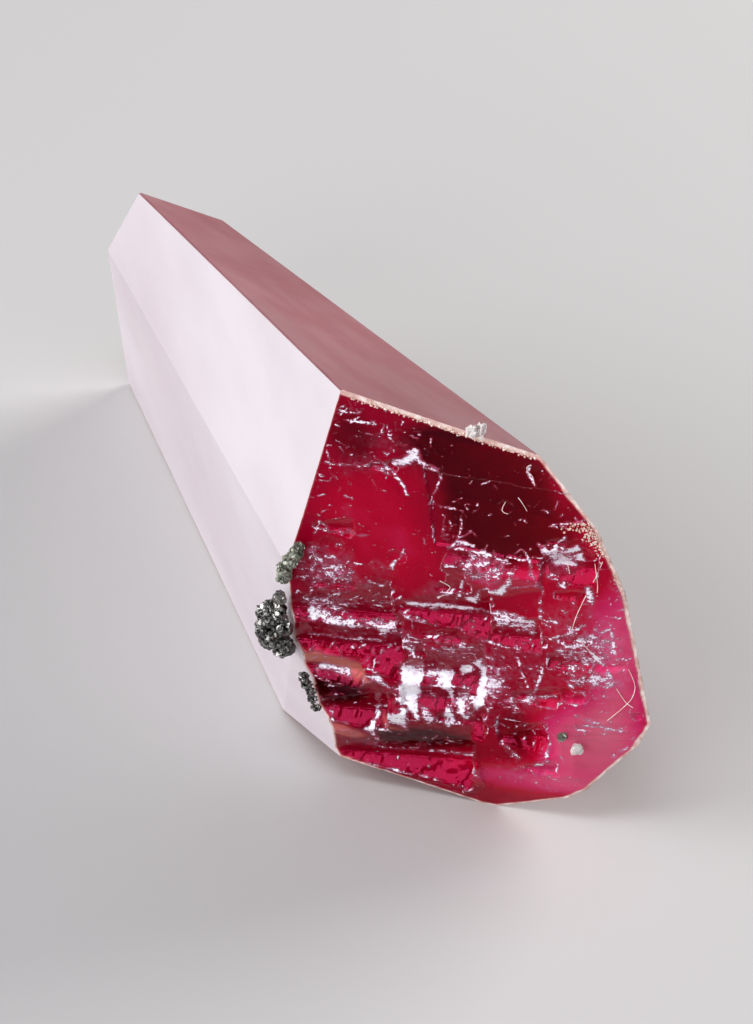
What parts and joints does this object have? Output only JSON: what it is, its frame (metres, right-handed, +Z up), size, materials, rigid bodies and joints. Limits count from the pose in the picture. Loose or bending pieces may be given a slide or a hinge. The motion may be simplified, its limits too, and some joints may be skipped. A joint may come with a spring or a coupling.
{
  "type": "rhodochrosite crystal with quartz",
  "caption": "Steep tapering rhodochrosite crystal lying on a flat side, with a stepped glassy red break at one end, pale satin skin, and small quartz and sulfide growths on the rim.",
  "frame": {"origin": "middle of the overall box, on the ground that the crystal lies on", "axes": "+Z up, +Y along the crystal towards its blunt tip, +X to the right seen from the break"},
  "size_m": [0.014, 0.0484, 0.0188],
  "materials": {
    "rhodochrosite": "clear deep red inside with a pale pink satin skin",
    "sulfide": "dark, metallic lustre",
    "green_crust": "green-grey, sparkling",
    "quartz": "clear, glassy"
  },
  "bodies": {
    "root": {"rhodochrosite_crystal": "rhodochrosite", "sulfide_cluster": "sulfide", "sulfide_druse": "green_crust", "sulfide_specks": "sulfide", "green_grain": "green_crust", "quartz_grain": "quartz", "quartz_druse": "quartz"}
  },
  "joints": []
}
